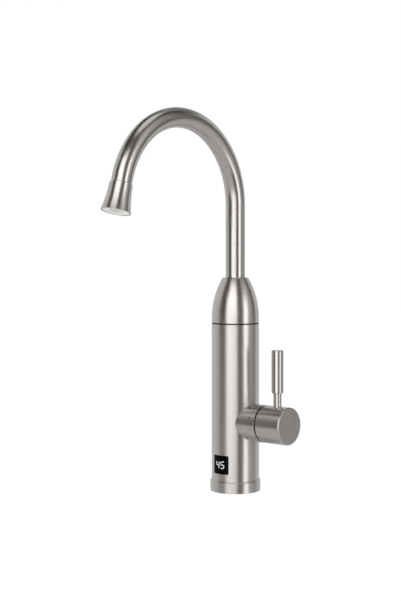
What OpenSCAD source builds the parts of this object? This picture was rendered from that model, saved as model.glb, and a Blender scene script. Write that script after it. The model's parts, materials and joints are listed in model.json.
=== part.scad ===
// Electric instant water heater tap. A body tube holds a heating vessel, a lever valve stands on its
// side, a temperature display lies low on its front, and a gooseneck spout swivels in its dome.
// The origin is the middle of the underside and +Z is up. The spout points to -Y, the valve to +X.

/* [Body] */
// Outer diameter of the body tube
body_d = 50; // [45:0.5:56]
// Wall of the body tube
body_wall = 1.5; // [1.3:0.1:1.8]
// Height of the body tube's top edge above the worktop
body_top = 175.3; // [165:0.1:200]
// How far the foot ring stands out past the body tube
ring_lip = 1.4; // [1:0.1:3]
// Height of the foot ring
ring_h = 11.5; // [9:0.5:14]
// Thickness of the foot ring's floor, which carries the tube
ring_floor = 3; // [2.5:0.5:4]
// Width of the foot ring's floor inside the tube's bore
ring_shelf = 0.5; // [0.4:0.1:0.8]
// Height of the dark ring between the body tube and the dome
seal_h = 1.4; // [1:0.1:3]
// How far the dark ring lies behind the tube's surface
seal_recess = 0.4; // [0.2:0.1:0.8]
// Chamfer on turned outer edges
edge_break = 0.5; // [0.2:0.1:0.8]

/* [Dome] */
// Height of the dome
dome_h = 47.3; // [44:0.1:60]
// Height of the dome's straight foot
dome_foot = 4.5; // [0.5:0.1:6]
// Diameter of the dome's flat top
dome_top_d = 26.9; // [26.5:0.1:32]
// Wall of the dome
dome_wall = 1.8; // [1.5:0.1:2.2]
// Thickness of the dome's top over the bush
dome_web = 5.4; // [4:0.1:7]
// Wall of the collar that joins the dome to the body tube
collar_wall = 2.2; // [1.8:0.1:2.6]
// How far the collar reaches into the dome
collar_engage = 7.3; // [5:0.1:9]

/* [Spout] */
// Outer diameter of the spout tube
tube_d = 20.5; // [18:0.1:21]
// Wall of the spout tube
tube_wall = 1; // [0.8:0.1:1.5]
// Height at which the spout starts to bend
rise_top = 300; // [260:1:340]
// Radius of the bend at the tube's middle line
bend_r = 86.6; // [70:0.1:110]
// Angle that the spout bends through
bend_angle = 164.6; // [150:0.1:180]
// Straight tube between the bend and the nozzle
tube_tail = 5.7; // [0:0.1:30]
// Length of the plastic bush that the spout turns in
bush_len = 15; // [10:0.5:18]
// Wall of the plastic bush
bush_wall = 2.7; // [1.5:0.1:3]
// Length of the brass spigot on the spout's lower end
spigot_len = 17; // [14:0.5:20]
// Wall of the brass spigot
spigot_wall = 2.7; // [2.2:0.1:3]
// Wall of the brass socket that the spigot turns in
socket_wall = 2.2; // [1.5:0.1:2.4]
// Room between the spout socket's flange and the dome's wall
flange_room = 0.9; // [0.6:0.1:2]

/* [Nozzle] */
// Length of the bell nozzle
nozzle_len = 28; // [24:0.5:36]
// Diameter of the nozzle at its neck
neck_d = 22.7; // [22:0.1:26]
// Radius of the nozzle's flare, seen from the side
flare_r = 115; // [90:1:140]
// How far the tube reaches into the nozzle
nozzle_grip = 7; // [5:0.5:9]
// Diameter of the aerator's screwed body
aerator_d = 22.8; // [22:0.1:23.4]
// Depth of the aerator's screwed body behind its flange
aerator_depth = 8.3; // [6:0.1:9]
// Thickness of the aerator's flange
aerator_flange = 1.8; // [1:0.1:2.5]
// Thickness of the metal lip round the aerator
lip_wall = 1; // [0.8:0.1:1.5]
// Rings of cells in the aerator's grille
grille_rings = 5; // [3:1:6]

/* [Valve] */
// Height of the valve's axis
valve_z = 72.9; // [70:0.1:80]
// Outer diameter of the valve stub and of the lever cap
valve_d = 38.8; // [38.6:0.1:40]
// Wall of the valve stub and of the lever cap
valve_wall = 1.5; // [1.2:0.1:1.6]
// Distance from the body's axis to the stub's end
stub_reach = 39.9; // [39.5:0.1:46]
// Dark gap between the stub and the lever cap
cap_gap = 1.7; // [0.5:0.1:2.5]
// Length of the lever cap
cap_len = 30.1; // [28:0.1:34]
// Thickness of the lever cap's end face
cap_face = 3.5; // [2.5:0.1:5]
// Radius of the rounded edge at the end of the lever cap
cap_edge = 1.4; // [0.6:0.1:2]
// Diameter of the stem that turns the valve
spindle_d = 10; // [8:0.1:11]
// Diameter of the ceramic discs
disc_d = 23; // [22:0.1:23.4]
// Wall of the cartridge housing
cartridge_wall = 2.2; // [1.8:0.1:2.4]
// Thickness of each ceramic disc
disc_t = 3.5; // [3:0.1:4]
// Diameter of the water ports
port_d = 6; // [4:0.5:7]

/* [Lever] */
// Distance from the body's axis to the lever
lever_x = 56.1; // [55:0.1:58]
// Diameter of the lever's thin stem
stem_d = 8.4; // [6:0.1:9]
// Height of the handle's lower end above the valve's axis
handle_foot = 33.1; // [26:0.1:45]
// Diameter of the handle
handle_d = 12.3; // [11:0.1:16]
// Length of the handle
handle_len = 44.0; // [30:0.1:70]
// Depth to which the stem goes into the handle
handle_socket = 14; // [8:0.5:20]

/* [Switch] */
// Travel of the switch plunger over a quarter turn of the lever
cam_rise = 0.6; // [0.4:0.05:0.8]
// Middle radius of the cam
cam_r = 8.4; // [8.2:0.1:8.6]
// Thickness of the cam
cam_t = 4.1; // [3:0.1:4.2]
// Width of the micro switch along the cam's rim
switch_w = 12.8; // [12:0.1:13]
// Height of the micro switch away from the cam
switch_h = 6.5; // [6:0.1:6.8]
// Thickness of the micro switch
switch_t = 5.8; // [5:0.1:6]
// Diameter of the switch plunger
plunger_d = 2; // [1.6:0.1:2.4]

/* [Display] */
// Width of the display window
window_w = 19.5; // [16:0.1:22]
// Height of the display window
window_h = 19.5; // [14:0.1:22]
// Height of the window's middle above the worktop
window_z = 29.3; // [27:0.1:34]
// Corner radius of the window
window_corner = 1.3; // [0.6:0.1:3]
// Thickness of the window
window_t = 1.3; // [0.8:0.1:1.3]
// Width of the digit module behind the window
module_w = 16; // [12:0.1:18]
// Height of the digit module
module_h = 15.5; // [12:0.1:18]
// Depth of the digit module
module_t = 4.2; // [3:0.1:5]
// Room between the control board's rails and the body tube's bore
rail_room = 0.3; // [0.25:0.05:0.6]
// Height of the control board
board_h = 38; // [32:0.5:38]
// Thickness of the control board
board_t = 1.6; // [1:0.1:2]

/* [Inlet] */
// Core diameter of the half inch inlet thread
inlet_d = 18.63; // [18.6:0.01:18.7]
// Depth of the inlet thread
inlet_depth = 13; // [11:0.5:14]
// Wall of the inlet socket
inlet_wall = 2.1; // [1.8:0.1:2.2]
// Outer diameter of the pipe that feeds the valve
pipe_d = 10; // [9:0.1:10]
// Wall of the feed pipe and of the nipples
pipe_wall = 1; // [0.8:0.1:1.5]
// Gap between the cord gland and the inlet socket
gland_gap = 0.785; // [0.7:0.005:1]
// Wall of the cord gland
gland_wall = 1.1; // [0.9:0.1:1.1]
// Plate left between the cord gland and the plate's edge
gland_edge = 0.8; // [0.7:0.1:1]
// Thickness of the base plate's flange
plate_t = 5; // [4:0.5:6]
// Number of screws that hold the base plate
base_screws_n = 3; // [2:1:4]
// Diameter of those screws
base_screw_d = 3; // [2:0.5:4]

/* [Heater] */
// Room between the heating vessel and the body tube's bore
vessel_room = 3.5; // [3.3:0.1:5]
// Wall of the heating vessel
vessel_wall = 2; // [1.5:0.1:2.5]
// Thickness of the vessel's floor
vessel_floor = 3; // [2:0.5:5]
// Gap between the valve and the vessel
vessel_gap = 6; // [4:0.5:12]
// Thickness of the vessel's lid
lid_t = 5; // [4:0.5:8]
// Depth of the lid's spigot in the vessel
lid_spigot = 4; // [3:0.5:6]
// Distance of the lid's top below the body tube's top edge
lid_drop = 5.3; // [4:0.1:8]
// Room between the heating coil's turns and the vessel's wall
coil_room = 1.6; // [1:0.1:1.8]
// Diameter of the heating element's sheath
element_d = 3.8; // [3:0.1:4]
// Room between the coil's inner leg and its turns
leg_room = 0.9; // [0.8:0.1:1.1]
// Bend radius where the coil's legs meet its turns
coil_bend = 4; // [3.5:0.5:5]
// Number of times the coil passes the front of the vessel
coil_turns = 7; // [4:1:8]
// Distance of each coil leg from the tap's middle plane
leg_x = 4; // [3:0.5:5]
// Diameter of the leads that feed the coil
lead_d = 2; // [1.6:0.1:2]
// Distance of the terminal block from the cold feed pipe
terminal_gap = 4; // [3.6:0.1:5]
// Radius of the nipples, as a share of the distance from the axis to the coil's legs
nipple_share = 0.56; // [0.5:0.01:0.57]
// Gap between the outlet nipple and the thermal cut-out
cutout_gap = 1.2; // [0.8:0.1:2]

/* [Fits] */
// Radial clearance of a shaft that turns in its bore
running_fit = 0.05; // [0.03:0.01:0.1]
// Clearance between pieces that move past each other
moving_gap = 0.3; // [0.25:0.05:0.5]
// Clearance round a piece that is set in a recess
set_fit = 0.05; // [0.02:0.01:0.1]

/* [Hidden] */
$fn = 96;
eps = 1;

// Colours
steel = "silver";
brass = "goldenrod";
black_plastic = "#222222";
pale_plastic = "gainsboro";
rubber = "#111111";
ceramic = "ivory";
board_green = "darkgreen";

// Body
body_r = body_d / 2;
bore_r = body_r - body_wall;
ring_r = body_r + ring_lip;
shelf_r = bore_r - ring_shelf;
groove_depth = 1.4;
groove_r0 = shelf_r + 0.8;
groove_r1 = body_r + 0.4;
plate_top = ring_floor + plate_t;
plate_lift = 0.4;

// Dome and collar
dome_z = body_top + seal_h;
dome_top = dome_z + dome_h;
dome_top_r = dome_top_d / 2;
dome_rise = dome_h - dome_foot;
dome_draw = body_r - dome_top_r;
dome_arc_r = (dome_rise * dome_rise + dome_draw * dome_draw) / (2 * dome_draw);
lid_top = body_top - lid_drop;
lid_z = lid_top - lid_t;
collar_r = bore_r - collar_wall;
collar_z = lid_top - 3;
collar_top = dome_z + collar_engage;
collar_lip = 2;
collar_lip_r = collar_r - 2.1;

// Spout
tube_r = tube_d / 2;
tube_bore_r = tube_r - tube_wall;
bush_r = tube_r + running_fit + bush_wall;
ledge_z = dome_top - dome_web - bush_len;
spigot_r = tube_r + spigot_wall;
socket_r = spigot_r + running_fit;
washer_t = 0.7;
washer_z = ledge_z - moving_gap - washer_t;
spigot_z = washer_z - spigot_len;
socket_floor = 2.5;
socket_clear = 3;
socket_z = spigot_z - socket_clear - socket_floor;
socket_flange = 3;
flange_drop = ledge_z - dome_z - dome_foot;
dome_inner_r = dome_arc_r - dome_wall;
dome_bore_r = body_r - dome_arc_r + sqrt(dome_inner_r * dome_inner_r - flange_drop * flange_drop);
socket_flange_r = dome_bore_r - flange_room;
groove_w = 2;
tail_lap = 0.5;
tail_step = 0.03;
oring_r = 0.8;
oring_first = 4;
oring_pitch = 6;
oring_z = [spigot_z + oring_first, spigot_z + oring_first + oring_pitch];

// Nozzle
neck_r = neck_d / 2;
lip_r = neck_r + flare_r - sqrt(flare_r * flare_r - nozzle_len * nozzle_len);
lip_inset = 0.4;
aerator_r = aerator_d / 2;
aerator_bore_r = aerator_r - 1.4;
flange_s = nozzle_len - lip_inset - aerator_flange;
flange_r = neck_r + flare_r - sqrt(flare_r * flare_r - flange_s * flange_s) - lip_wall;
housing_s = flange_s - aerator_depth;
nozzle_seal_t = 1.5;
nozzle_seal_s = housing_s - nozzle_seal_t;
core_t = 3.3;
core_s = nozzle_len - lip_inset - 0.3 - core_t;
screen_t = 0.8;
screen_s = housing_s + 1.2;

// Valve, by distance along its axis from the body's axis
valve_r = valve_d / 2;
stub_bore_r = valve_r - valve_wall;
manifold_fit = 0.24;
manifold_r = stub_bore_r - manifold_fit;
manifold_back = -11;
manifold_bottom = valve_z - manifold_r;
manifold_top = valve_z + manifold_r;
disc_r = disc_d / 2;
cartridge_r = disc_r + moving_gap + cartridge_wall;
pocket_x = 17;
cartridge_seal_t = 1.5;
fixed_disc_x = pocket_x + cartridge_seal_t;
moving_disc_x = fixed_disc_x + disc_t + running_fit;
spindle_r = spindle_d / 2;
spindle_x = moving_disc_x + disc_t;
spindle_flange_t = 2.4;
housing_face_x = spindle_x + spindle_flange_t + moving_gap;
nut_x = 34;
nut_t = 4.3;
manifold_front = nut_x + nut_t;
web_t = 2.9;
web_x = stub_reach;
web_face = web_x + web_t;
web_bore_r = spindle_r + 3.6;
guide_r = stub_bore_r - 0.05;
cap_x = stub_reach + cap_gap;
cap_bore_r = valve_r - valve_wall;
guide_nose_r = cap_bore_r - moving_gap;
cap_end = cap_x + cap_len;
hub_r = 8;
cam_x = web_face + 0.4;
hub_x = cam_x + cam_t;
port_off = 6.3;
port_r = port_d / 2;
pipe_r = pipe_d / 2;
pipe_bore_r = pipe_r - pipe_wall;
pipe_grip = 5;

// Lever
stem_r = stem_d / 2;
handle_r = handle_d / 2;
handle_z = valve_z + handle_foot;

// Switch, by distance from the valve's axis
switch_r = 10;
switch_cell_r = plunger_d / 2 + running_fit;
switch_cell_depth = 3.4;
switch_screw_r = 0.9;
switch_screw_y = 4.3;
switch_screw_at = switch_r + 4.6;
plunger_tip = cam_r + moving_gap;
plunger_len = 3.4;
cam_reach = 115;
cam_step = 5;

// Display and control board
window_clear = 0.2;
module_y = -sqrt(pow(bore_r - window_clear, 2) - pow(module_w / 2, 2));
board_y = module_y + module_t;
board_back = board_y + board_t;
board_z = 16;
triac_w = 10;
triac_h = 15;
triac_t = 4.5;
triac_z = 30;
triac_back = board_back + triac_t;
block_w = 16;
block_z = 28;
block_h = 18;
rail_w = 2.3;
rail_grip = 1.5;
rail_wall = 1.1;
rail_top = 44;
rail_run = bore_r - rail_room;
rail_y = board_y - rail_wall;
board_w = 2 * (sqrt(rail_run * rail_run - rail_y * rail_y) + rail_grip - rail_w);

// Inlet
inlet_r = inlet_d / 2;
socket_body_r = inlet_r + inlet_wall;
strainer_z = inlet_depth;
strainer_t = 1.2;
strainer_r = inlet_r - 0.8;
inlet_shoulder = strainer_z + strainer_t;
pipe_z = inlet_shoulder + 2.5;
inlet_top = pipe_z + 4;
gland_r = (shelf_r - gland_edge - socket_body_r - gland_gap) / 2;
gland_bore = 2 * (gland_r - gland_wall);
gland_y = shelf_r - gland_r - gland_edge;
gland_lip = 0.4;
gland_top = plate_top + 1.2;
// The leads stand behind the vessel, at a place rounded to a tenth
lead_r = lead_d / 2;
lead_gap = 0.4;
lead_run = bore_r - lead_r - lead_gap;
lead_y = floor(10 * sqrt(lead_run * lead_run - leg_x * leg_x)) / 10;
lead_bend = 1.35 * lead_d;
terminal_w = 18;
terminal_y = pipe_r + terminal_gap;
terminal_t = lead_y - lead_bend - terminal_y;
terminal_z = 20;
terminal_h = 14;
pillar_r = 2.4;
pillar_x = 8;
pillar_y = terminal_y + 3;

// Heater
vessel_r = bore_r - vessel_room;
vessel_bore_r = vessel_r - vessel_wall;
vessel_z = manifold_top + vessel_gap;
vessel_h = lid_z - vessel_z;
lid_r = collar_r - moving_gap;
lid_seal_r = 0.5;
lid_seal_z = lid_z - lid_spigot / 2;
element_r = element_d / 2;
coil_r = vessel_bore_r - coil_room - element_r;
coil_leg_r = coil_r - element_d - leg_room;
coil_bottom = vessel_z + vessel_floor + element_r + 3;
coil_top = lid_z - lid_spigot - element_r - 3;
leg_top = lid_top + 4;
// The inner leg, and where its bend ends
leg1_a = acos(leg_x / coil_leg_r);
leg1_y = coil_leg_r * sin(leg1_a);
turn_r = sqrt(coil_leg_r * coil_leg_r + coil_bend * coil_bend);
turn_a = leg1_a + atan(coil_bend / coil_leg_r);
// The outward run from the inner leg to the turns, tangent at both ends
out_draw = coil_r - turn_r;
out_a = 2 * out_draw / (turn_r * coil_bend / coil_leg_r) * 180 / PI;
// The outer leg, which the last turn meets after its bend
leg2_r = sqrt(coil_r * coil_r + coil_bend * coil_bend);
leg2_a = acos(-leg_x / leg2_r);
leg2_y = leg2_r * sin(leg2_a);
helix_a0 = turn_a + out_a;
helix_a1 = leg2_a - atan(coil_bend / coil_r) + 360 * coil_turns;
legs = [[leg_x, leg1_y], [-leg_x, leg2_y]];
ferrule_r = element_r + 1.1;
ferrule_h = 3;
nipple_r = coil_leg_r * nipple_share;
nipple_bore_r = nipple_r - 1.5;
lead_low = terminal_z + terminal_h / 2;
eyelet_t = lead_d + lead_gap;
lead_high = leg_top + eyelet_t / 2;
eyelet_r = 2.6;
cutout_r = (collar_lip_r - 0.5 - nipple_r - cutout_gap) / 2;
cutout_h = 4.5;
cutout_run = (collar_lip_r - cutout_r - 0.5) * sin(45);
cutout_at = [-cutout_run, -cutout_run];
sensor_at = [cutout_run, -cutout_run];
sensor_r = 2;

// Shape helpers

// A ring of rectangular section from r0 to r1 and from z0 to z1
module ring(r0, r1, z0, z1) {
    translate([0, 0, z0])
        linear_extrude(z1 - z0)
            difference() {
                circle(r1);
                circle(r0);
            }
}

// A disc with radius r from z0 to z1
module disc(r, z0, z1) {
    translate([0, 0, z0])
        cylinder(r = r, h = z1 - z0);
}

// A round piece with a chamfered edge at either end
module chamfered_disc(r, z0, z1, low, high) {
    rotate_extrude()
        polygon([
            [0, z0], [r - low, z0], [r, z0 + low], [r, z1 - high], [r - high, z1], [0, z1]
        ]);
}

// A round ring of round section
module torus(r, section_r, z) {
    translate([0, 0, z])
        rotate_extrude()
            translate([r, 0])
                circle(section_r, $fn = 48);
}

// Turns a shape made along Z so that it lies along the valve's axis
module on_valve_axis() {
    translate([0, 0, valve_z])
        rotate([0, 90, 0])
            children();
}

// Places a flat outline, drawn as seen from +X, square to the valve's axis
module across_valve_axis(x) {
    translate([x, 0, valve_z])
        rotate([90, 0, 90])
            children();
}

// Places a shape at the spout's outlet end, with +Z along the water and 0 at the nozzle's neck
module at_nozzle() {
    translate([0, bend_r * (cos(bend_angle) - 1), rise_top + bend_r * sin(bend_angle)])
        rotate([bend_angle, 0, 0])
            translate([0, 0, tube_tail])
                children();
}

// The outline of a rectangle with round corners
module rounded_rect(w, h, r) {
    square([w - 2 * r, h], center = true);
    square([w, h - 2 * r], center = true);
    for (sx = [-1, 1], sy = [-1, 1])
        translate([sx * (w / 2 - r), sy * (h / 2 - r)])
            circle(r);
}

// The display window's outline, grown by an amount and cut back from the front of the body
module window_prism(grow) {
    translate([0, 0, window_z])
        rotate([90, 0, 0])
            linear_extrude(body_r + eps)
                rounded_rect(window_w + 2 * grow, window_h + 2 * grow, window_corner + grow);
}

// Foot and inlet

module base_ring() color(steel)
    difference() {
        chamfered_disc(ring_r, 0, ring_h, edge_break / 4, edge_break);
        disc(shelf_r, -eps, ring_h + eps);
        disc(body_r, ring_floor, ring_h + eps);
        ring(groove_r0, groove_r1, -eps, groove_depth);
    }

module deck_seal() color(rubber)
    ring(groove_r0, groove_r1, 0, groove_depth);

module base_plate() color(black_plastic)
    difference() {
        union() {
            disc(shelf_r, plate_lift, ring_floor);
            disc(bore_r, ring_floor, plate_top);
            board_rails();
            for (sx = [-1, 1])
                translate([sx * pillar_x, pillar_y, 0])
                    disc(pillar_r, plate_top, terminal_z);
        }
        disc(socket_body_r, -eps, plate_top + eps);
        translate([0, gland_y, 0])
            disc(gland_r, -eps, plate_top + eps);
        base_screw_set();
    }

// Two grooved posts that hold the control board by its side edges
module board_rails() {
    for (sx = [0, 1])
        mirror([sx, 0, 0])
            difference() {
                translate([board_w / 2 - rail_grip, board_y - rail_wall, plate_top])
                    cube([rail_w, board_t + 2 * rail_wall, rail_top - plate_top]);
                translate([board_w / 2 - rail_grip - eps, board_y, board_z])
                    cube([rail_grip + eps, board_t, board_h]);
            }
}

module base_screws() color(steel)
    base_screw_set();

module base_screw_set() {
    screw_in = bore_r - 5.5;
    for (i = [0 : base_screws_n - 1])
        rotate([0, 0, 30 + i * 360 / base_screws_n])
            translate([screw_in, 0, ring_floor + plate_t / 2])
                rotate([0, 90, 0])
                    cylinder(d = base_screw_d, h = body_r - 0.3 - screw_in);
}

module inlet_socket() color(brass)
    difference() {
        union() {
            disc(socket_body_r, 0, inlet_shoulder);
            translate([0, 0, inlet_shoulder])
                cylinder(r1 = socket_body_r, r2 = pipe_r + 2, h = inlet_top - inlet_shoulder);
        }
        disc(inlet_r, -eps, strainer_z);
        disc(strainer_r, strainer_z - eps, inlet_shoulder);
        disc(pipe_bore_r, inlet_shoulder - eps, inlet_top + eps);
        disc(pipe_r, pipe_z, inlet_top + eps);
    }

module inlet_strainer() color(pale_plastic)
    difference() {
        disc(strainer_r, strainer_z, strainer_z + strainer_t);
        hole_field(0.7, 2.2, 3, strainer_z, strainer_t);
    }

// Rings of round holes round a middle hole
module hole_field(hole_r, step, rings, z, t) {
    disc(hole_r, z - eps, z + t + eps);
    for (k = [1 : rings], i = [0 : 6 * k - 1])
        rotate([0, 0, i * 60 / k])
            translate([k * step, 0, 0])
                disc(hole_r, z - eps, z + t + eps);
}

module cord_gland() color(rubber)
    translate([0, gland_y, 0])
        difference() {
            union() {
                disc(gland_r, plate_lift, plate_top);
                disc(gland_r + gland_lip, plate_top, gland_top);
            }
            disc(gland_bore / 2, -eps, gland_top + eps);
        }

module terminal_block() color(pale_plastic)
    difference() {
        translate([-terminal_w / 2, terminal_y, terminal_z])
            cube([terminal_w, terminal_t, terminal_h]);
        for (x = [-6, 0, 6])
            translate([x, terminal_y + terminal_t / 2, 0]) {
                disc(1.8, terminal_z + 4, terminal_z + terminal_h + eps);
                disc(1.4, terminal_z - eps, terminal_z + 3);
            }
    }

// Body tube, display and control board

module body_shell() color(steel)
    difference() {
        ring(bore_r, body_r, ring_floor, body_top);
        window_prism(0);
        on_valve_axis()
            disc(stub_bore_r, bore_r / 2, body_r + eps);
        base_screw_set();
    }

module display_window() color("black")
    intersection() {
        window_prism(-set_fit);
        ring(body_r - window_t, body_r, window_z - window_h, window_z + window_h);
    }

module display_module() color(black_plastic)
    translate([-module_w / 2, module_y, window_z - module_h / 2])
        cube([module_w, module_t, module_h]);

module control_board() color(board_green)
    translate([-board_w / 2, board_y, board_z])
        cube([board_w, board_t, board_h]);

module triac() color(black_plastic)
    translate([-triac_w / 2, board_back, triac_z])
        cube([triac_w, triac_t, triac_h]);

module cooling_block() color("lightgray")
    difference() {
        translate([-block_w / 2, triac_back, block_z])
            cube([block_w, pipe_r + 2 - triac_back, block_h]);
        disc(pipe_r, block_z - eps, block_z + block_h + eps);
    }

module inlet_pipe() color(brass)
    ring(pipe_bore_r, pipe_r, pipe_z, manifold_bottom + pipe_grip);

// Valve

module valve_stub() color(steel)
    difference() {
        on_valve_axis()
            difference() {
                chamfered_disc(valve_r, bore_r / 2, stub_reach, 0, edge_break / 2);
                disc(stub_bore_r, 0, stub_reach + eps);
            }
        disc(body_r, manifold_bottom - 10, manifold_top + 10);
    }

module valve_manifold() color(brass)
    difference() {
        on_valve_axis()
            difference() {
                disc(manifold_r, manifold_back, manifold_front);
                disc(cartridge_r, pocket_x, manifold_front + eps);
            }
        // Feed from below, then along to the lower disc port
        disc(pipe_r, manifold_bottom - eps, manifold_bottom + pipe_grip);
        disc(pipe_bore_r, manifold_bottom, valve_z - port_off + port_r);
        on_valve_axis()
            translate([port_off, 0, 0])
                disc(port_r, 0, pocket_x + eps);
        // From the upper disc port back and up to the vessel
        on_valve_axis()
            translate([-port_off, 0, 0])
                disc(port_r, 0, pocket_x + eps);
        disc(nipple_bore_r, valve_z + port_off - port_r, manifold_top + eps);
        disc(nipple_r, manifold_top - pipe_grip, manifold_top + eps);
    }

// The two port holes, for any piece that lies against the ports
module port_pair(x0, x1) {
    for (s = [-1, 1])
        translate([s * port_off, 0, 0])
            disc(port_r, x0 - eps, x1 + eps);
}

module cartridge_seal() color(rubber)
    on_valve_axis()
        difference() {
            disc(disc_r, pocket_x, fixed_disc_x);
            port_pair(pocket_x, fixed_disc_x);
        }

module fixed_disc() color(ceramic)
    on_valve_axis()
        difference() {
            disc(disc_r, fixed_disc_x, fixed_disc_x + disc_t);
            port_pair(fixed_disc_x, fixed_disc_x + disc_t);
        }

module cartridge_housing() color(pale_plastic)
    on_valve_axis()
        difference() {
            disc(cartridge_r, pocket_x, nut_x);
            disc(disc_r + moving_gap, pocket_x - eps, housing_face_x);
            disc(spindle_r + running_fit, pocket_x, nut_x + eps);
        }

module cartridge_nut() color(brass)
    on_valve_axis()
        difference() {
            disc(cartridge_r, nut_x, manifold_front);
            disc(spindle_r + moving_gap, nut_x - eps, manifold_front + eps);
        }

module guide_ring() color(black_plastic)
    difference() {
        on_valve_axis()
            difference() {
                union() {
                    disc(guide_r, manifold_front, web_x);
                    disc(guide_nose_r, web_x, web_face);
                }
                disc(cartridge_r, manifold_front - eps, web_x);
                disc(web_bore_r, manifold_front, web_face + eps);
            }
        switch_screw_set(0);
    }

module micro_switch() color(black_plastic)
    difference() {
        translate([web_face, -switch_w / 2, valve_z - switch_r - switch_h])
            cube([switch_t, switch_w, switch_h]);
        translate([cam_x + cam_t / 2, 0, valve_z - switch_r - switch_cell_depth])
            cylinder(r = switch_cell_r, h = switch_cell_depth + eps);
        switch_screw_set(0);
    }

module switch_screws() color(steel)
    switch_screw_set(1);

// Screws that hold the micro switch on the guide ring; head 1 adds their heads
module switch_screw_set(head) {
    tip = web_face - 2.2;
    for (sy = [-1, 1])
        translate([0, sy * switch_screw_y, valve_z - switch_screw_at])
            rotate([0, 90, 0]) {
                disc(switch_screw_r, tip, web_face + switch_t);
                if (head > 0)
                    disc(1.6, web_face + switch_t, web_face + switch_t + 0.8);
            }
}

// Heating vessel

module feed_nipple() color(brass)
    ring(nipple_bore_r, nipple_r, manifold_top - pipe_grip, vessel_z + vessel_floor);

module heater_vessel() color(pale_plastic)
    difference() {
        disc(vessel_r, vessel_z, lid_z);
        disc(vessel_bore_r, vessel_z + vessel_floor, lid_z + eps);
        disc(nipple_r, vessel_z - eps, vessel_z + vessel_floor + eps);
    }

module vessel_seal() color(rubber)
    torus(vessel_bore_r - set_fit - lid_seal_r, lid_seal_r, lid_seal_z);

module vessel_lid() color(pale_plastic)
    difference() {
        union() {
            disc(lid_r, lid_z, lid_top);
            disc(vessel_bore_r - set_fit, lid_z - lid_spigot, lid_z);
        }
        ring(vessel_bore_r - set_fit - 2 * lid_seal_r, vessel_r,
            lid_seal_z - lid_seal_r, lid_seal_z + lid_seal_r);
        disc(nipple_r, lid_z - lid_spigot - eps, lid_top + eps);
        for (p = legs)
            translate([p[0], p[1], 0])
                disc(element_r + set_fit, lid_z - lid_spigot - eps, lid_top + eps);
        translate([sensor_at[0], sensor_at[1], 0])
            disc(sensor_r, lid_z - lid_spigot - eps, lid_top + eps);
        lead_channel();
    }

// Room for the two leads behind the vessel's lid and through the collar
module lead_channel() {
    half = leg_x + lead_r + lead_gap;
    translate([-half, lead_y - lead_r - lead_gap, collar_z - eps])
        cube([2 * half, body_r, lead_high + lead_r + lead_gap - collar_z + eps]);
}

module element_terminals() color("white")
    for (p = legs)
        translate([p[0], p[1], 0])
            ring(element_r + set_fit, ferrule_r, lid_top, lid_top + ferrule_h);

module element_leads() color("firebrick")
    for (i = [0, 1])
        element_lead(legs[i][0], legs[i][1]);

// One lead: out of the terminal block, up behind the vessel and in over the lid to its leg
module element_lead(x, y) {
    high_bend = 3;
    translate([x, lead_y, 0])
        disc(lead_r, lead_low + lead_bend, lead_high - high_bend);
    lead_elbow(x, lead_y - lead_bend, lead_low + lead_bend, lead_bend, -90);
    lead_elbow(x, lead_y - high_bend, lead_high - high_bend, high_bend, 0);
    translate([x, lead_y - high_bend, lead_high])
        rotate([90, 0, 0])
            disc(lead_r, 0, lead_y - high_bend - y - eyelet_r / 2);
    translate([x, y, 0])
        disc(eyelet_r, leg_top, leg_top + eyelet_t);
}

// A quarter bend of the lead round a point, starting at an angle from +Y
module lead_elbow(x, y, z, r, a0) {
    translate([x, y, z])
        rotate([90, 0, 90])
            rotate([0, 0, a0])
                rotate_extrude(angle = 90)
                    translate([r, 0])
                        circle(lead_r, $fn = 48);
}

module thermal_cutout() color("dimgray")
    translate([cutout_at[0], cutout_at[1], 0]) {
        disc(cutout_r, lid_top, lid_top + cutout_h);
        for (sx = [-1, 1])
            translate([sx * 3.2 - 0.4, -1.5, lid_top + cutout_h])
                cube([0.8, 3, 5]);
    }

module temperature_sensor() color(brass)
    translate([sensor_at[0], sensor_at[1], 0]) {
        disc(sensor_r, lid_z - lid_spigot - 1, lid_top);
        disc(sensor_r + 1.2, lid_top, lid_top + 3);
    }

module outlet_nipple() color(brass)
    ring(nipple_bore_r, nipple_r, lid_z - lid_spigot, socket_z);

// Middle line of the heating coil: inner leg, bend, outward run, turns, bend and outer leg
bend_steps = 4;
turn_steps = 24;

function polar(r, a, z) = [r * cos(a), r * sin(a), z];
function along(a) = [-sin(a), cos(a), 0];

function coil_leg_down() = [
    for (i = [0 : 3])
        polar(coil_leg_r, leg1_a, leg_top + (coil_bottom + coil_bend - leg_top) * i / 3)
];
function coil_first_bend() = [
    for (i = [1 : bend_steps])
        let (t = 90 * i / bend_steps)
        polar(coil_leg_r, leg1_a, coil_bottom + coil_bend * (1 - sin(t)))
            + along(leg1_a) * coil_bend * (1 - cos(t))
];
out_steps = max(4, round(turn_steps * out_a / 360));
function coil_outward() = [
    for (i = [1 : out_steps])
        let (u = i / out_steps)
        polar(turn_r + out_draw * (2 * u - u * u), turn_a + out_a * u, coil_bottom)
];
helix_steps = round(turn_steps * (helix_a1 - helix_a0) / 360);
function coil_helix() = [
    for (i = [1 : helix_steps])
        let (u = i / helix_steps)
        polar(coil_r, helix_a0 + (helix_a1 - helix_a0) * u,
            coil_bottom + (coil_top - coil_bend - coil_bottom) * u)
];
function coil_last_bend() = [
    for (i = [1 : bend_steps])
        let (t = 90 * i / bend_steps)
        polar(coil_r, helix_a1, coil_top - coil_bend * cos(t))
            + along(helix_a1) * coil_bend * sin(t)
];
function coil_leg_up() = [
    for (i = [1 : 2])
        polar(leg2_r, leg2_a, coil_top + (leg_top - coil_top) * i / 2)
];
coil_path = concat(coil_leg_down(), coil_first_bend(), coil_outward(), coil_helix(),
    coil_last_bend(), coil_leg_up());

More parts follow.
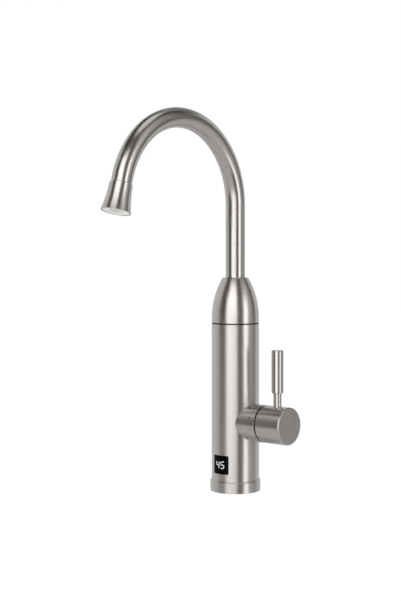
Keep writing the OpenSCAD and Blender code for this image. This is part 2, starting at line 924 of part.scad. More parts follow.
function unit(v) = v / norm(v);
function tangents(path) =
    let (n = len(path))
    [for (i = [0 : n - 1]) unit(path[min(i + 1, n - 1)] - path[max(i - 1, 0)])];
function square_to(v, t) = unit(v - (v * t) * t);
// A side direction for each point, carried along the path without twist
function carried(t) = [
    for (i = 0, n = square_to([1, 0.2, 0], t[0]);
        i < len(t);
        i = i + 1, n = i < len(t) ? square_to(n, t[i]) : n)
        n
];

// One closed tube along a path
module swept_tube(path, r, sides) {
    n = len(path);
    t = tangents(path);
    side = carried(t);
    points = [
        for (i = [0 : n - 1], k = [0 : sides - 1])
            let (a = 360 * k / sides, up = cross(t[i], side[i]))
            path[i] + r * (cos(a) * side[i] + sin(a) * up)
    ];
    skin = [
        for (i = [0 : n - 2], k = [0 : sides - 1])
            let (a = i * sides + k, b = i * sides + (k + 1) % sides)
            each [[a, a + sides, b + sides], [a, b + sides, b]]
    ];
    caps = [
        [for (k = [0 : sides - 1]) k],
        [for (k = [sides - 1 : -1 : 0]) (n - 1) * sides + k]
    ];
    polyhedron(points = points, faces = concat(skin, caps), convexity = 10);
}

// Least gap between two stretches of the coil that aren't neighbours
neighbours = 6;
coil_gap_to_itself = min([
    for (i = [0 : len(coil_path) - 1], j = [i + neighbours : 1 : len(coil_path) - 1])
        norm(coil_path[i] - coil_path[j])
]) - element_d;
echo(coil_gap_to_itself = coil_gap_to_itself);

module heating_coil() color("darkgray")
    swept_tube(coil_path, element_r, 8);

// Dome and the socket that the spout turns in

module dome_collar() color(brass)
    difference() {
        union() {
            ring(collar_r, bore_r, collar_z, collar_top);
            ring(collar_lip_r, bore_r, lid_top, lid_top + collar_lip);
        }
        lead_channel();
    }

module seal_ring() color(rubber)
    ring(bore_r, body_r - seal_recess, body_top, dome_z);

// Half section of the dome's outside, or of its cavity when drawn in by a wall
module dome_section(inward, h) {
    square([body_r - inward, dome_foot]);
    intersection() {
        translate([body_r - dome_arc_r, dome_foot])
            circle(dome_arc_r - inward, $fn = 360);
        translate([0, dome_foot])
            square([body_r, h - dome_foot]);
    }
}

module dome() color(steel)
    translate([0, 0, dome_z])
        rotate_extrude()
            difference() {
                dome_section(0, dome_h);
                dome_section(dome_wall, ledge_z - dome_z);
                square([bore_r, collar_engage + set_fit]);
                square([bush_r, ledge_z - dome_z + bush_len]);
                square([tube_r + moving_gap, dome_h + eps]);
                polygon([
                    [dome_top_r - edge_break, dome_h + eps / 100],
                    [dome_top_r + eps, dome_h + eps / 100],
                    [dome_top_r + eps, dome_h - edge_break],
                    [dome_top_r, dome_h - edge_break]
                ]);
            }

module spout_socket() color(brass)
    difference() {
        union() {
            disc(socket_r + socket_wall, socket_z, ledge_z);
            disc(socket_flange_r, ledge_z - socket_flange, ledge_z);
        }
        disc(socket_r, socket_z + socket_floor, ledge_z + eps);
        disc(nipple_bore_r, socket_z - eps, socket_z + socket_floor + eps);
    }

module spout_bush() color(pale_plastic)
    ring(tube_r + running_fit, bush_r, ledge_z, ledge_z + bush_len);

// Lever

// The moving disc has one pocket that joins the two ports when the lever leaves its middle place
module moving_disc() color(ceramic)
    on_valve_axis()
        difference() {
            disc(disc_r - moving_gap, moving_disc_x, moving_disc_x + disc_t);
            translate([0, 0, moving_disc_x - eps])
                linear_extrude(2 + eps)
                    square([port_d, 2 * port_off + port_d], center = true);
        }

module cartridge_stem() color(brass)
    on_valve_axis()
        difference() {
            union() {
                disc(disc_r - moving_gap - 1, spindle_x, spindle_x + spindle_flange_t);
                disc(spindle_r, spindle_x, lever_x + stem_r + 2);
            }
            ring(spindle_r - 0.9, spindle_r + eps, housing_face_x + 1.2, housing_face_x + 2.2);
        }

module stem_oring() color(rubber)
    on_valve_axis()
        torus(spindle_r - 0.45, 0.45, housing_face_x + 1.7);

// Radius of the cam at an angle from its lowest point, which rises evenly past both quarter turns
function cam_radius(b) =
    let (k = cam_rise / 90)
    abs(b) <= cam_reach ? cam_r + k * b : cam_r + k * cam_reach * (180 - abs(b)) / (180 - cam_reach)
        * sign(b);

module switch_cam() color(pale_plastic)
    across_valve_axis(cam_x)
        linear_extrude(cam_t)
            difference() {
                polygon([
                    for (b = [-180 : cam_step : 180 - cam_step])
                        cam_radius(b) * [sin(b), -cos(b)]
                ]);
                circle(spindle_r);
            }

// Half section of the lever cap's outside, with its rounded end
module cap_section() {
    polygon([
        [0, cap_x], [valve_r - edge_break / 2, cap_x], [valve_r, cap_x + edge_break / 2],
        [valve_r, cap_end - cap_edge], [0, cap_end - cap_edge]
    ]);
    translate([0, cap_end - cap_edge])
        square([valve_r - cap_edge, cap_edge]);
    translate([valve_r - cap_edge, cap_end - cap_edge])
        circle(cap_edge);
}

module lever_cap() color(steel)
    difference() {
        on_valve_axis()
            difference() {
                rotate_extrude()
                    cap_section();
                difference() {
                    disc(cap_bore_r, cap_x - eps, cap_end - cap_face);
                    disc(hub_r, hub_x, cap_end);
                }
                disc(spindle_r, hub_x - eps, lever_x + stem_r + 2);
            }
        translate([lever_x, 0, 0])
            disc(stem_r, valve_z + spindle_r, valve_z + valve_r + eps);
    }

module lever_stem() color(steel)
    translate([lever_x, 0, 0])
        disc(stem_r, valve_z + spindle_r, handle_z + handle_socket);

module lever_handle() color(steel)
    translate([lever_x, 0, 0])
        difference() {
            chamfered_disc(handle_r, handle_z, handle_z + handle_len, edge_break, edge_break);
            disc(stem_r, handle_z - eps, handle_z + handle_socket);
        }

module switch_plunger() color("firebrick")
    translate([cam_x + cam_t / 2, 0, valve_z - plunger_tip - plunger_len])
        cylinder(d = plunger_d, h = plunger_len);

// Spout

// The tube's wall in section; a step draws both faces into the wall
module tube_section(step) {
    difference() {
        circle(tube_r - step);
        circle(tube_bore_r + step);
    }
}

module spout_tube() color(steel) {
    translate([0, 0, spigot_z])
        linear_extrude(rise_top - spigot_z)
            tube_section(0);
    translate([0, -bend_r, rise_top])
        rotate([90, 0, 90])
            rotate_extrude(angle = bend_angle, $fn = 180)
                translate([bend_r, 0])
                    tube_section(0);
    at_nozzle()
        translate([0, 0, -tube_tail - tail_lap])
            linear_extrude(tube_tail + tail_lap + nozzle_grip)
                tube_section(tail_step);
}

module spout_spigot() color(brass)
    difference() {
        ring(tube_r, spigot_r, spigot_z, washer_z);
        for (z = oring_z)
            ring(spigot_r - 2 * oring_r, spigot_r + eps, z - groove_w / 2, z + groove_w / 2);
    }

module spout_orings() color(rubber)
    for (z = oring_z)
        torus(spigot_r - oring_r, oring_r, z);

module thrust_washer() color("white")
    ring(tube_r, spigot_r, washer_z, washer_z + washer_t);

module nozzle_bell() color(steel)
    at_nozzle()
        rotate_extrude()
            difference() {
                square([lip_r, nozzle_len]);
                // The flare, one arc that leaves the neck straight
                translate([neck_r + flare_r, 0])
                    circle(flare_r, $fn = 720);
                polygon([[neck_r - edge_break, -eps], [neck_r + eps, -eps],
                    [neck_r + eps, edge_break + eps], [neck_r, edge_break],
                    [neck_r - edge_break, 0]]);
                // Seat of the tube, water way and seat of the aerator
                square([tube_r, nozzle_grip]);
                square([tube_bore_r, nozzle_len]);
                translate([0, nozzle_seal_s])
                    square([aerator_r, nozzle_len]);
                translate([0, flange_s])
                    square([flange_r, nozzle_len]);
            }

module aerator_seal() color(rubber)
    at_nozzle()
        ring(aerator_bore_r, aerator_r, nozzle_seal_s, housing_s);

module aerator_housing() color(pale_plastic)
    at_nozzle() {
        ring(aerator_bore_r, aerator_r, housing_s, flange_s);
        ring(aerator_bore_r, flange_r, flange_s, flange_s + aerator_flange);
    }

module aerator_screen() color(steel)
    at_nozzle()
        difference() {
            disc(aerator_bore_r, screen_s, screen_s + screen_t);
            hole_field(0.8, 2.3, 3, screen_s, screen_t);
        }

module aerator_core() color(pale_plastic)
    at_nozzle()
        difference() {
            disc(aerator_bore_r, core_s, core_s + core_t);
            grille_cells();
        }

// Six sided cells in rings, as deep as the grille is thick
module grille_cells() {
    pitch = (aerator_bore_r - 0.6) / (grille_rings + 0.5);
    cell_r = pitch * 0.44;
    for (q = [-grille_rings : grille_rings], r = [-grille_rings : grille_rings])
        if (abs(q + r) <= grille_rings && norm([q + r / 2, r * sin(60)]) < grille_rings - 0.05)
            translate([pitch * (q + r / 2), pitch * r * sin(60), core_s - eps])
                rotate([0, 0, 30])
                    cylinder(r = cell_r, h = core_t + 2 * eps, $fn = 6);
}

base_ring();
deck_seal();
base_plate();
base_screws();
inlet_socket();
inlet_strainer();
cord_gland();
terminal_block();
body_shell();
display_window();
display_module();
control_board();
triac();
cooling_block();
inlet_pipe();
valve_stub();
valve_manifold();
cartridge_seal();
fixed_disc();
cartridge_housing();
cartridge_nut();
guide_ring();
micro_switch();
switch_screws();
feed_nipple();
heater_vessel();
heating_coil();
vessel_seal();
vessel_lid();
element_terminals();
element_leads();
thermal_cutout();
temperature_sensor();
outlet_nipple();
dome_collar();
seal_ring();
dome();
spout_socket();
spout_bush();
moving_disc();
cartridge_stem();
stem_oring();
switch_cam();
lever_cap();
lever_stem();
lever_handle();
switch_plunger();
spout_tube();
spout_spigot();
spout_orings();
thrust_washer();
nozzle_bell();
aerator_seal();
aerator_housing();
aerator_screen();
aerator_core();
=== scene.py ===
import json
import math

import bpy
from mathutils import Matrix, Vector


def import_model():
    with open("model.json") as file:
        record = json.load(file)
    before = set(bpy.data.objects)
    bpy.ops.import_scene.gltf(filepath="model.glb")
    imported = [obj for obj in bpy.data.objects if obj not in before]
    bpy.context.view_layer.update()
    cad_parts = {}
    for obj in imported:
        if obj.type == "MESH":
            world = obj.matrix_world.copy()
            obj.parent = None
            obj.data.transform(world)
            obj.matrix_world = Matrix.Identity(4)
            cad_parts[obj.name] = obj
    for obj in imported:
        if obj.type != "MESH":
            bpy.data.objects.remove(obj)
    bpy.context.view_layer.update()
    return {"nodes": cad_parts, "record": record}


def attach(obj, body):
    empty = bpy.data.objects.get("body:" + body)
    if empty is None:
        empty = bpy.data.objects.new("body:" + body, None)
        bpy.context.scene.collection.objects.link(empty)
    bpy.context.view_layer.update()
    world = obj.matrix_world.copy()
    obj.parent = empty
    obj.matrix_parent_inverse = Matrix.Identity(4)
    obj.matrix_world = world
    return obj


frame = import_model()

MM = 0.001

# Camera, from the photograph's perspective: place in metres, lens and sensor in mm
AZIMUTH = math.radians(39.35)
DISTANCE = 1.3535
EYE = 0.2638
LENS = 76.70
SENSOR = 36
SHIFT = (-0.058, -0.101)
LEVEL = math.radians(90)

# The tap's own measures in mm, as in the model's source
BODY_R = 25
WINDOW_Z = 29.3
VALVE_Z = 72.9
VALVE_R = 19.4
SPOUT_BEND = math.radians(164.6)
NOZZLE_AXIS = (0, -math.sin(SPOUT_BEND), math.cos(SPOUT_BEND))

# Noise scales per metre. Brushing has a scale across its streaks and one along them
STREAKS = (1600, 25)
BANDS = (260, 12)
METAL_GRAIN = 3200
MOULD_GRAIN = 700
MOULD_CLOUD = 60
PRINT_GRAIN = 900

# The part of a noise that a ramp of colours covers, and how far roughness strays either way
RAMP_ENDS = (0.35, 0.65)
SATIN_SPREAD = 0.01
MOULD_SPREAD = 0.06
# Turns a highlight's stretch from the tangent to the direction across it
ACROSS = 0.25
# Tangent of a face that is square to the axis, too small to change any other face's
SPARE_TANGENT = (0.0001, 0, 0)


def material(name):
    """A new node material and its nodes, links and shader."""
    mat = bpy.data.materials.new(name)
    mat.use_nodes = True
    tree = mat.node_tree
    return mat, tree.nodes, tree.links, tree.nodes["Principled BSDF"]


def bare_material(name):
    """A new material with nothing but its output: the material, its nodes and links, and the
    output's socket."""
    mat = bpy.data.materials.new(name)
    mat.use_nodes = True
    nodes = mat.node_tree.nodes
    nodes.clear()
    out = nodes.new("ShaderNodeOutputMaterial")
    return mat, nodes, mat.node_tree.links, out.inputs["Surface"]


def scaled_coords(nodes, links, scale):
    """Object coordinates in metres, stretched by a scale for each axis."""
    coords = nodes.new("ShaderNodeTexCoord")
    mapping = nodes.new("ShaderNodeMapping")
    mapping.inputs["Scale"].default_value = scale
    links.new(coords.outputs["Object"], mapping.inputs["Vector"])
    return mapping.outputs["Vector"]


def noise(nodes, links, scale, detail, rough=0.55):
    made = nodes.new("ShaderNodeTexNoise")
    made.inputs["Scale"].default_value = 1
    made.inputs["Detail"].default_value = detail
    made.inputs["Roughness"].default_value = rough
    links.new(scaled_coords(nodes, links, scale), made.inputs["Vector"])
    return made.outputs["Fac"]


def ramp(nodes, links, source, low, high):
    """A colour between two, by a noise."""
    made = nodes.new("ShaderNodeValToRGB")
    for element, position, colour in zip(made.color_ramp.elements, RAMP_ENDS, (low, high)):
        element.position = position
        element.color = (*colour, 1)
    links.new(source, made.inputs["Fac"])
    return made.outputs["Color"]


def to_range(nodes, links, source, low, high):
    made = nodes.new("ShaderNodeMapRange")
    made.inputs["To Min"].default_value = low
    made.inputs["To Max"].default_value = high
    links.new(source, made.inputs["Value"])
    return made.outputs["Result"]


def bump(nodes, links, shader, source, strength, depth):
    """Grain in the surface, with its depth in mm."""
    made = nodes.new("ShaderNodeBump")
    made.inputs["Strength"].default_value = strength
    made.inputs["Distance"].default_value = depth * MM
    links.new(source, made.inputs["Height"])
    links.new(made.outputs["Normal"], shader.inputs["Normal"])


def shaded(tint, share):
    return tuple(c * share for c in tint)


def round_axis(axis, scales):
    """Noise scales for brushing round an axis, which has its streaks side by side along it."""
    across, along = scales
    return [across if a == axis else along for a in "XYZ"]


STEEL = (0.64, 0.626, 0.612)
# The steel's own tint made a little lighter for the nozzle: painted light that gives back the
# brightness its stretched highlights lose
NOZZLE_STEEL_PAINTED_LIGHT = (0.66, 0.645, 0.63)


def brushed_steel(name, axis, rough=(0.29, 0.33), aniso=0.4):
    """Stainless steel brushed round an axis: its streaks run round the axis, and its highlights
    stretch along it."""
    mat, nodes, links, shader = material(name)
    streaks = noise(nodes, links, round_axis(axis, STREAKS), detail=4, rough=0.6)
    bands = noise(nodes, links, round_axis(axis, BANDS), detail=2)
    links.new(ramp(nodes, links, streaks, shaded(STEEL, 0.97), shaded(STEEL, 1.03)),
              shader.inputs["Base Color"])
    links.new(to_range(nodes, links, bands, *rough), shader.inputs["Roughness"])
    shader.inputs["Metallic"].default_value = 1
    shader.inputs["Anisotropic"].default_value = aniso
    shader.inputs["Anisotropic Rotation"].default_value = ACROSS
    tangent = nodes.new("ShaderNodeTangent")
    tangent.direction_type = "RADIAL"
    tangent.axis = axis
    links.new(tangent.outputs["Tangent"], shader.inputs["Tangent"])
    bump(nodes, links, shader, streaks, strength=0.03, depth=0.02)
    return mat


def satin_metal(name, tint, rough):
    """Metal with a fine even finish."""
    mat, nodes, links, shader = material(name)
    grain = noise(nodes, links, (METAL_GRAIN,) * 3, detail=4)
    links.new(ramp(nodes, links, grain, shaded(tint, 0.96), tint), shader.inputs["Base Color"])
    links.new(to_range(nodes, links, grain, rough - SATIN_SPREAD, rough + SATIN_SPREAD),
              shader.inputs["Roughness"])
    shader.inputs["Metallic"].default_value = 1
    bump(nodes, links, shader, grain, strength=0.01, depth=0.01)
    return mat


def brushed_round(mat, axis, aniso):
    """A metal with its highlights stretched along an axis of the object that may lean, as
    brushing round that axis does."""
    nodes, links = mat.node_tree.nodes, mat.node_tree.links
    shader = nodes["Principled BSDF"]
    turned = nodes.new("ShaderNodeVectorTransform")
    turned.vector_type = "VECTOR"
    turned.convert_from, turned.convert_to = "OBJECT", "WORLD"
    turned.inputs["Vector"].default_value = axis
    surface = nodes.new("ShaderNodeNewGeometry")
    turning = nodes.new("ShaderNodeVectorMath")
    turning.operation = "CROSS_PRODUCT"
    links.new(turned.outputs["Vector"], turning.inputs[0])
    links.new(surface.outputs["Normal"], turning.inputs[1])
    tangent = nodes.new("ShaderNodeVectorMath")
    tangent.operation = "ADD"
    tangent.inputs[1].default_value = SPARE_TANGENT
    links.new(turning.outputs["Vector"], tangent.inputs[0])
    links.new(tangent.outputs["Vector"], shader.inputs["Tangent"])
    shader.inputs["Anisotropic"].default_value = aniso
    shader.inputs["Anisotropic Rotation"].default_value = ACROSS
    return mat


def moulded(name, tint, rough, depth=0.03, gloss=0.5):
    """Moulded plastic or rubber with a fine grain, with its depth in mm."""
    mat, nodes, links, shader = material(name)
    grain = noise(nodes, links, (MOULD_GRAIN,) * 3, detail=3)
    cloud = noise(nodes, links, (MOULD_CLOUD,) * 3, detail=2)
    links.new(ramp(nodes, links, cloud, shaded(tint, 0.85), tint), shader.inputs["Base Color"])
    links.new(to_range(nodes, links, grain, rough - MOULD_SPREAD, rough + MOULD_SPREAD),
              shader.inputs["Roughness"])
    shader.inputs["Specular IOR Level"].default_value = gloss
    bump(nodes, links, shader, grain, strength=0.2, depth=depth)
    return mat


def glowing(name, tint, strength):
    """A dark plastic that is lit from behind."""
    mat, nodes, links, shader = material(name)
    haze = noise(nodes, links, (PRINT_GRAIN,) * 3, detail=2)
    links.new(ramp(nodes, links, haze, shaded(tint, 0.93), tint), shader.inputs["Emission Color"])
    shader.inputs["Base Color"].default_value = (0.05, 0.05, 0.05, 1)
    shader.inputs["Emission Strength"].default_value = strength
    shader.inputs["Roughness"].default_value = 0.4
    return mat


def ink(name, low, high):
    """Matt print, between two dark tones."""
    mat, nodes, links, shader = material(name)
    specks = noise(nodes, links, (PRINT_GRAIN,) * 3, detail=2)
    links.new(ramp(nodes, links, specks, low, high), shader.inputs["Base Color"])
    shader.inputs["Roughness"].default_value = 0.6
    return mat


SLOTS = {
    "ring_steel": brushed_steel("steel_ring", "Z"),
    "shell_steel": brushed_steel("steel_shell", "Z"),
    "dome_steel": brushed_steel("steel_dome", "Z", rough=(0.275, 0.295)),
    "spout_steel": satin_metal("steel_spout", STEEL, 0.25),
    # The nozzle takes the lighter steel tint, which is painted light for its highlights
    "nozzle_steel": brushed_round(
        satin_metal("steel_nozzle", NOZZLE_STEEL_PAINTED_LIGHT, 0.285), NOZZLE_AXIS, 0.55),
    "stub_steel": brushed_steel("steel_stub", "X", rough=(0.255, 0.275), aniso=0),
    "cap_steel": brushed_steel("steel_cap", "X", rough=(0.26, 0.28), aniso=0),
    "lever_steel": satin_metal("steel_lever", (0.61, 0.597, 0.584), 0.22),
    "inner_steel": satin_metal("steel_inner", (0.58, 0.57, 0.56), 0.3),
    "coil_steel": satin_metal("steel_coil", (0.45, 0.44, 0.43), 0.4),
    "brass": satin_metal("machined_brass", (0.74, 0.56, 0.27), 0.28),
    "aluminium": satin_metal("extruded_aluminium", (0.76, 0.77, 0.78), 0.35),
    "black_plastic": moulded("black_plastic", (0.022, 0.022, 0.023), 0.5),
    "pale_plastic": moulded("pale_plastic", (0.80, 0.79, 0.76), 0.45),
    "aerator_plastic": moulded("aerator_plastic", (0.86, 0.86, 0.84), 0.4),
    "red_plastic": moulded("red_plastic", (0.5, 0.03, 0.02), 0.4),
    "lead_insulation": moulded("lead_insulation", (0.42, 0.03, 0.03), 0.5),
    "board_green": moulded("board_green", (0.02, 0.15, 0.06), 0.35),
    "ceramic": moulded("ceramic", (0.88, 0.87, 0.83), 0.2, depth=0.005),
    "black_rubber": moulded("black_rubber", (0.012, 0.012, 0.012), 0.65, gloss=0.25),
    "window_black": moulded("window_black", (0.002, 0.002, 0.002), 0.12, depth=0.002, gloss=0.06),
}


def dress_frame():
    """Gives each piece the material of its slot in the record."""
    slots = {part["node"]: part["material_slot"] for part in frame["record"]["subparts"]}
    for name, ob in frame["nodes"].items():
        for holder in ob.material_slots:
            holder.material = SLOTS[slots[name]]


def mesh_object(name, verts, faces, mat):
    mesh = bpy.data.meshes.new(name)
    mesh.from_pydata(verts, [], faces)
    mesh.update()
    mesh.materials.append(mat)
    ob = bpy.data.objects.new(name, mesh)
    bpy.context.scene.collection.objects.link(ob)
    return ob


def raised_print(name, outlines, place, radii, mat):
    """Thin solids on a curved face, one for each outline, from an outer radius to an inner one."""
    verts, faces = [], []
    for outline in outlines:
        n, base = len(outline), len(verts)
        verts += [place(u, v, r) for r in radii for u, v in outline]
        faces.append(tuple(range(base, base + n)))
        faces.append(tuple(range(base + 2 * n - 1, base + n - 1, -1)))
        for k in range(n):
            k2 = (k + 1) % n
            faces.append((base + k, base + n + k, base + n + k2, base + k2))
    return mesh_object(name, verts, faces, mat)


# Seven-segment digits in mm. Each segment is a six-sided bar on the window's curved face
DIGIT_W, DIGIT_H, STROKE, SLANT = 3.75, 6.75, 0.98, 0.1
DIGIT_PITCH = 6.2
SEGMENT_GAP = 0.12
SEGMENTS = {"4": "fgbc", "5": "afgcd"}
DIGITS_LEFT = 0.3
DIGITS_Z = WINDOW_Z - 0.1
DIGIT_RADII = (BODY_R + 0.06, BODY_R - 0.05)


def segment_outline(letter, lit):
    """A bar's six corners. An upright bar with no bar across its end reaches as far as one would."""
    w, h, s = DIGIT_W / 2, DIGIT_H / 2, STROKE / 2
    top = h if "a" in lit else h + s
    foot = h if "d" in lit else h + s
    ends = {
        "a": ((-w, h), (w, h)), "g": ((-w, 0), (w, 0)), "d": ((-w, -h), (w, -h)),
        "f": ((-w, 0), (-w, top)), "b": ((w, 0), (w, top)), "c": ((w, -foot), (w, 0)),
    }[letter]
    (x0, y0), (x1, y1) = ends
    length = math.hypot(x1 - x0, y1 - y0)
    ux, uy = (x1 - x0) / length, (y1 - y0) / length
    x0, y0 = x0 + ux * SEGMENT_GAP, y0 + uy * SEGMENT_GAP
    x1, y1 = x1 - ux * SEGMENT_GAP, y1 - uy * SEGMENT_GAP
    nx, ny = -uy * s, ux * s
    return [
        (x0, y0), (x0 + ux * s + nx, y0 + uy * s + ny), (x1 - ux * s + nx, y1 - uy * s + ny),
        (x1, y1), (x1 - ux * s - nx, y1 - uy * s - ny), (x0 + ux * s - nx, y0 + uy * s - ny),
    ]


def on_window(u, v, r):
    """A point on the window's curve, from lengths along it and up."""
    a = u / BODY_R
    return (r * math.sin(a) * MM, -r * math.cos(a) * MM, v * MM)


def digits(text):
    outlines = []
    for i, char in enumerate(text):
        shift = (i - (len(text) - 1) / 2) * DIGIT_PITCH - DIGITS_LEFT
        for letter in SEGMENTS[char]:
            outlines.append([(x + shift + y * SLANT, DIGITS_Z + y)
                             for x, y in segment_outline(letter, SEGMENTS[char])])
    light = glowing("digit_light", (0.95, 0.97, 1.0), 0.78)
    ob = raised_print("display_digits", outlines, on_window, DIGIT_RADII, light)
    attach(ob, "body")


# Plain marks on the valve stub: width, height and place along the axis in mm, and angle up
MARKS = [
    (1.5, 1.6, 32.9, 22.9), (1.4, 4.6, 32.6, 7.0), (1.2, 1.8, 36.3, 5.5), (2.2, 0.8, 34.6, -11.0),
]
MARK_CORNERS = 16
MARK_RADII = (VALVE_R + 0.02, VALVE_R - 0.03)


def mark_outline(width, height, x, angle):
    """A rounded box, as a curve of the fourth power: places along the axis and angles."""
    outline = []
    for k in range(MARK_CORNERS):
        a = math.radians(360 / MARK_CORNERS * k)
        c, s = math.cos(a), math.sin(a)
        size = (abs(c) ** 4 + abs(s) ** 4) ** -0.25
        outline.append((x + width / 2 * c * size,
                        math.radians(angle) + height / 2 * s * size / VALVE_R))
    return outline


def on_stub(x, a, r):
    """A point on the valve stub's curve, from a place along its axis and an angle up."""
    return (x * MM, -r * math.cos(a) * MM, (VALVE_Z + r * math.sin(a)) * MM)


def stub_marks():
    outlines = [mark_outline(*mark) for mark in MARKS]
    dark = ink("mark_ink", (0.035, 0.032, 0.03), (0.06, 0.056, 0.052))
    ob = raised_print("stub_marks", outlines, on_stub, MARK_RADII, dark)
    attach(ob, "body")


def camera():
    data = bpy.data.cameras.new("view")
    data.sensor_width = SENSOR
    data.sensor_fit = "AUTO"
    data.lens = LENS
    data.shift_x, data.shift_y = SHIFT
    ob = bpy.data.objects.new("view", data)
    bpy.context.scene.collection.objects.link(ob)
    ob.location = (DISTANCE * math.sin(AZIMUTH), -DISTANCE * math.cos(AZIMUTH), EYE)
    ob.rotation_euler = (LEVEL, 0, AZIMUTH)
    bpy.context.scene.camera = ob


def glow(nodes, kind, colour, strength):
    """A new node that gives light, as its shader."""
    made = nodes.new(kind)
    made.inputs["Color"].default_value = colour
    made.inputs["Strength"].default_value = strength
    return made.outputs[0]


def mixed(nodes, links, share, first, second):
    """Two shaders mixed, with the share that the second one has."""
    made = nodes.new("ShaderNodeMixShader")
    links.new(share, made.inputs["Fac"])
    links.new(first, made.inputs[1])
    links.new(second, made.inputs[2])
    return made.outputs["Shader"]


def maths(nodes, links, operation, first, second):
    """The result of an operation on a socket and another socket or a number."""
    made = nodes.new("ShaderNodeMath")
    made.operation = operation
    links.new(first, made.inputs[0])
    if isinstance(second, bpy.types.NodeSocket):
        links.new(second, made.inputs[1])
    else:
        made.inputs[1].default_value = second
    return made.outputs[0]


def background_rays(nodes, links):
    """1 for the rays that show the background: camera, glossy and transmission rays."""
    path = nodes.new("ShaderNodeLightPath")
    total = path.outputs["Is Camera Ray"]
    for kind in ("Is Glossy Ray", "Is Transmission Ray"):
        total = maths(nodes, links, "MAXIMUM", total, path.outputs[kind])
    return total


WHITE = (1, 1, 1, 1)
WARM = (1, 0.976, 0.968, 1)
EVEN = (1, 0.99, 0.967, 1)
PINK = (1, 0.968, 0.972, 1)
DIM = (1, 0.92, 0.84, 1)

# The floor's size and drop in metres. Where it shows, most of it is a plain white glow
FLOOR_SIZE = 6
FLOOR_DROP = 0.0002
FLOOR_GLOW = 1.05
FLOOR_GLOW_SHARE = 0.93
FLOOR_LIFT = 0.6
FLOOR_TONE = (0.8, 0.8, 0.8, 1)
SOFT_LIGHT = 0.25


def floor():
    mat, nodes, links, surface = bare_material("floor_white")
    share = maths(nodes, links, "MULTIPLY", background_rays(nodes, links), FLOOR_GLOW_SHARE)
    shown = glow(nodes, "ShaderNodeEmission", WHITE, FLOOR_GLOW)
    matt = nodes.new("ShaderNodeBsdfDiffuse")
    matt.inputs["Color"].default_value = FLOOR_TONE
    both = nodes.new("ShaderNodeAddShader")
    links.new(matt.outputs["BSDF"], both.inputs[0])
    links.new(glow(nodes, "ShaderNodeEmission", WHITE, FLOOR_LIFT), both.inputs[1])
    links.new(mixed(nodes, links, share, both.outputs["Shader"], shown), surface)
    s = FLOOR_SIZE / 2
    ob = mesh_object("floor", [(-s, -s, 0), (s, -s, 0), (s, s, 0), (-s, s, 0)], [(0, 1, 2, 3)], mat)
    ob.location.z = -FLOOR_DROP
    ob.visible_glossy = False


def world():
    """A white background, which lights the tap only softly."""
    made = bpy.data.worlds.new("studio")
    bpy.context.scene.world = made
    made.use_nodes = True
    nodes, links = made.node_tree.nodes, made.node_tree.links
    nodes.clear()
    shown = glow(nodes, "ShaderNodeBackground", WHITE, 1)
    soft = glow(nodes, "ShaderNodeBackground", WHITE, SOFT_LIGHT)
    out = nodes.new("ShaderNodeOutputWorld")
    share = background_rays(nodes, links)
    links.new(mixed(nodes, links, share, soft, shown), out.inputs["Surface"])


def sideways(beta):
    """The level direction at an angle in degrees to the right of the camera's, as seen from the
    tap."""
    b = math.radians(beta)
    return Vector((
        math.cos(b) * math.sin(AZIMUTH) + math.sin(b) * math.cos(AZIMUTH),
        -math.cos(b) * math.cos(AZIMUTH) + math.sin(b) * math.sin(AZIMUTH),
        0,
    ))


# Height of the tent's middle and distance of a card in metres, and degrees between its corners
CARD_MIDDLE = 0.2
CARD_FAR = 5.3
CARD_STEP = 5
# How far the top card lies off the middle in metres, and at which angle
TOP_ASIDE = 0.63
TOP_SIDE = 103


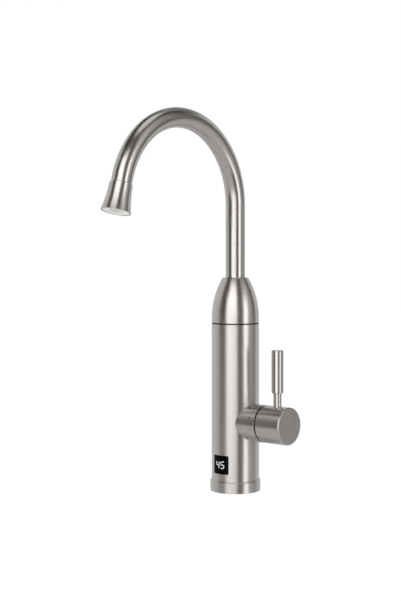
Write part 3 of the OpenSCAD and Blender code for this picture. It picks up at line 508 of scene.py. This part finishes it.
def card(name, radiance, beta0, beta1, low, high, colour=WARM, far=CARD_FAR, lean=0):
    """A curved card of the light tent, between two angles round the tap and two angles of height.
    Its sides may lean with height. It shows only in the light it gives and in reflections."""
    mat, nodes, links, surface = bare_material(name)
    links.new(glow(nodes, "ShaderNodeEmission", colour, radiance), surface)
    mat.cycles.emission_sampling = "NONE"
    across = max(2, round((beta1 - beta0) / CARD_STEP))
    up = max(2, round((high - low) / CARD_STEP))
    verts, faces = [], []
    for i in range(across + 1):
        for k in range(up + 1):
            height = low + (high - low) * k / up
            d = sideways(beta0 + (beta1 - beta0) * i / across + lean * height)
            e = math.radians(height)
            flat = far * math.cos(e)
            verts.append((d.x * flat, d.y * flat, CARD_MIDDLE + far * math.sin(e)))
    for i in range(across):
        for k in range(up):
            a = i * (up + 1) + k
            faces.append((a, a + up + 1, a + up + 2, a + 1))
    ob = mesh_object(name, verts, faces, mat)
    ob.visible_camera = False
    ob.visible_shadow = False
    return ob


bpy.context.scene.view_settings.view_transform = "Standard"
camera()
world()
floor()
dress_frame()
digits("45")
stub_marks()

# Studio cards: radiance, angles to the right of the camera as seen from the tap, and angles of
# height. Where two cards overlap, the nearer one shows
card("card_below", 0.52, -180, 180, -90, -16, colour=PINK, far=5.5)
card("card_back_left", 0.66, -180, -85, -18, 45, colour=EVEN)
card("card_left_turn", 0.54, -108, -85, -18, 14, colour=EVEN, far=5.28)
card("card_left_dark", 0.06, -85, -46, -12, 60, colour=DIM)
card("card_left_edge", 0.15, -85, -74, -12, 42, colour=DIM, far=5.28)
card("card_left_low", 0.50, -85, -45, -18, -12, colour=PINK)
card("card_left_bright", 1.62, -45.4, -12, -14.5, 12)
card("card_middle_bright", 1.5, -12, 8.3, -13, 12, lean=0.08)
card("card_left_high", 1.8, -45.4, 7.2, 12, 49.5)
card("card_front_dark", 0.09, 6.5, 43.5, -32, 47, colour=DIM, far=5.35)
card("card_right_low", 1.55, 41.2, 61.2, -33, -10, lean=0.1)
card("card_right_bright", 1.9, 41.0, 63.7, -10, 24.5, lean=0.07)
card("card_right_high", 0.44, 43, 65, 24.5, 54)
card("card_right_glow", 0.68, 60, 78, 10, 40, far=5.32)
card("card_right_grey", 0.37, 61, 96, -15, 54, far=5.35)
card("card_right_dark", 0.07, 96, 114, -6, 30, colour=DIM)
card("card_right_foot", 0.34, 96, 114, -18, -6)
card("card_back_right", 0.62, 114, 180, -17, 34, colour=EVEN)
card("card_back_high", 0.26, 128, 180, 34, 62, colour=EVEN)
card("card_hood", 0.06, -180, 180, -16, 90, colour=DIM, far=5.6)
top = card("card_top", 0.85, -180, 180, 70, 90, colour=EVEN, far=5.4)
top.location = TOP_ASIDE * sideways(TOP_SIDE)
